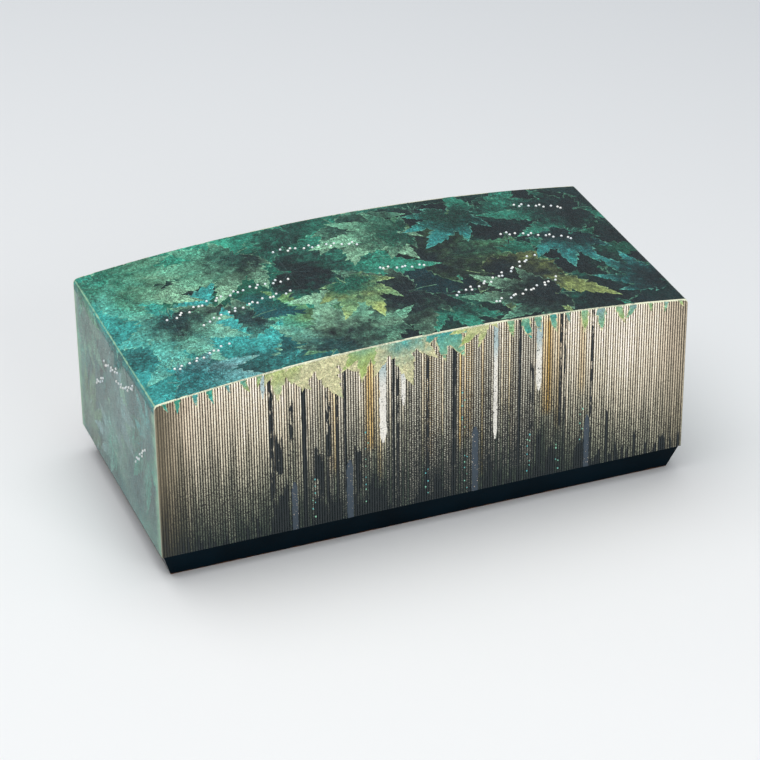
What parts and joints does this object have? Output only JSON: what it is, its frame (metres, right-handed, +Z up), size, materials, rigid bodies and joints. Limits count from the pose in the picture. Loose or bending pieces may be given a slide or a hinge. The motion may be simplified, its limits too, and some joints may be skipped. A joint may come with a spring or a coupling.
{
  "type": "writing box",
  "caption": "Lacquered writing box with a deep vaulted lift-off lid, reeded front, bevelled plinth and a lift-out tray with inkstone, water dropper, ink stick and brushes.",
  "frame": {"origin": "middle of the footprint, on the surface that the box stands on", "axes": "+X along the box to the right as seen from its reeded front, +Y from front to back, +Z up"},
  "size_m": [0.3002, 0.147, 0.1176],
  "materials": {
    "green_lacquer": "graded green and teal lacquer over wood, satin",
    "bronze_lacquer": "bronze-coloured ribbed lacquer, satin metal sheen",
    "black_lacquer": "polished black lacquer over wood",
    "inner_lacquer": "black lacquer with fine sprinkled gold, semi-gloss",
    "key_wood": "bare cypress",
    "shell": "polished white shell",
    "slate": "honed dark slate",
    "ink": "pressed ink, unmarked",
    "bronze": "patinated copper alloy",
    "bamboo": "polished bamboo",
    "horn": "polished dark horn",
    "hair": "animal hair brought to a point"
  },
  "bodies": {
    "box": {"plinth_front": "black_lacquer", "plinth_back": "black_lacquer", "plinth_left": "black_lacquer", "plinth_right": "black_lacquer", "base_board": "inner_lacquer", "box_front_wall": "inner_lacquer", "box_back_wall": "inner_lacquer", "box_left_wall": "inner_lacquer", "box_right_wall": "inner_lacquer", "box_corner_keys": "key_wood", "tray_ledge_left": "inner_lacquer", "tray_ledge_right": "inner_lacquer"},
    "lid": {"lid_top_panel": "green_lacquer", "lid_front_board": "inner_lacquer", "lid_back_board": "inner_lacquer", "lid_left_board": "green_lacquer", "lid_right_board": "green_lacquer", "lid_corner_keys": "key_wood", "front_ribbed_facing": "bronze_lacquer", "back_ribbed_facing": "bronze_lacquer", "lid_top_left_dots": "shell", "lid_top_right_dots": "shell", "lid_left_dots": "shell", "lid_right_dots": "shell"},
    "tray": {"tray_floor": "inner_lacquer", "tray_front_rim": "inner_lacquer", "tray_back_rim": "inner_lacquer", "tray_left_rim": "inner_lacquer", "tray_right_rim": "inner_lacquer", "tray_long_divider": "inner_lacquer", "tray_left_divider": "inner_lacquer", "tray_right_divider": "inner_lacquer", "brush_rest_left": "inner_lacquer", "brush_rest_right": "inner_lacquer"},
    "inkstone": {"inkstone": "slate"},
    "ink_stick": {"ink_stick": "ink"},
    "water_dropper": {"dropper_vessel": "bronze", "dropper_cover": "bronze", "dropper_spout": "bronze"},
    "large_brush": {"large_brush_handle": "bamboo", "large_brush_button": "horn", "large_brush_tuft": "hair"},
    "large_cap": {"large_brush_cap": "bamboo"},
    "small_brush": {"small_brush_handle": "bamboo", "small_brush_button": "horn", "small_brush_tuft": "hair"},
    "small_cap": {"small_brush_cap": "bamboo"}
  },
  "joints": [
    {"name": "lid_lift", "type": "slide", "parent": "box", "child": "lid", "axis": [0, 0, 1], "range_m": [0, 0.32]},
    {"name": "tray_lift", "type": "slide", "parent": "box", "child": "tray", "axis": [0, 0, 1], "range_m": [0, 0.135]},
    {"name": "inkstone_lift", "type": "slide", "parent": "tray", "child": "inkstone", "axis": [0, 0, 1], "range_m": [0, 0.04]},
    {"name": "ink_stick_lift", "type": "slide", "parent": "tray", "child": "ink_stick", "axis": [0, 0, 1], "range_m": [0, 0.055]},
    {"name": "water_dropper_lift", "type": "slide", "parent": "tray", "child": "water_dropper", "axis": [0, 0, 1], "range_m": [0, 0.065]},
    {"name": "large_brush_lift", "type": "slide", "parent": "tray", "child": "large_brush", "axis": [0, 0, 1], "range_m": [0, 0.045]},
    {"name": "small_brush_lift", "type": "slide", "parent": "tray", "child": "small_brush", "axis": [0, 0, 1], "range_m": [0, 0.045]},
    {"name": "large_cap_pull", "type": "slide", "parent": "large_brush", "child": "large_cap", "axis": [1, 0, 0], "range_m": [0, 0.055]},
    {"name": "small_cap_pull", "type": "slide", "parent": "small_brush", "child": "small_cap", "axis": [1, 0, 0], "range_m": [0, 0.045]}
  ],
  "couplings": [
    {"joint": "tray_lift", "follows": "lid_lift", "ratio": 0.42},
    {"joint": "inkstone_lift", "follows": "lid_lift", "ratio": 0.12},
    {"joint": "ink_stick_lift", "follows": "lid_lift", "ratio": 0.16},
    {"joint": "water_dropper_lift", "follows": "lid_lift", "ratio": 0.2},
    {"joint": "large_brush_lift", "follows": "lid_lift", "ratio": 0.14},
    {"joint": "small_brush_lift", "follows": "lid_lift", "ratio": 0.14}
  ]
}
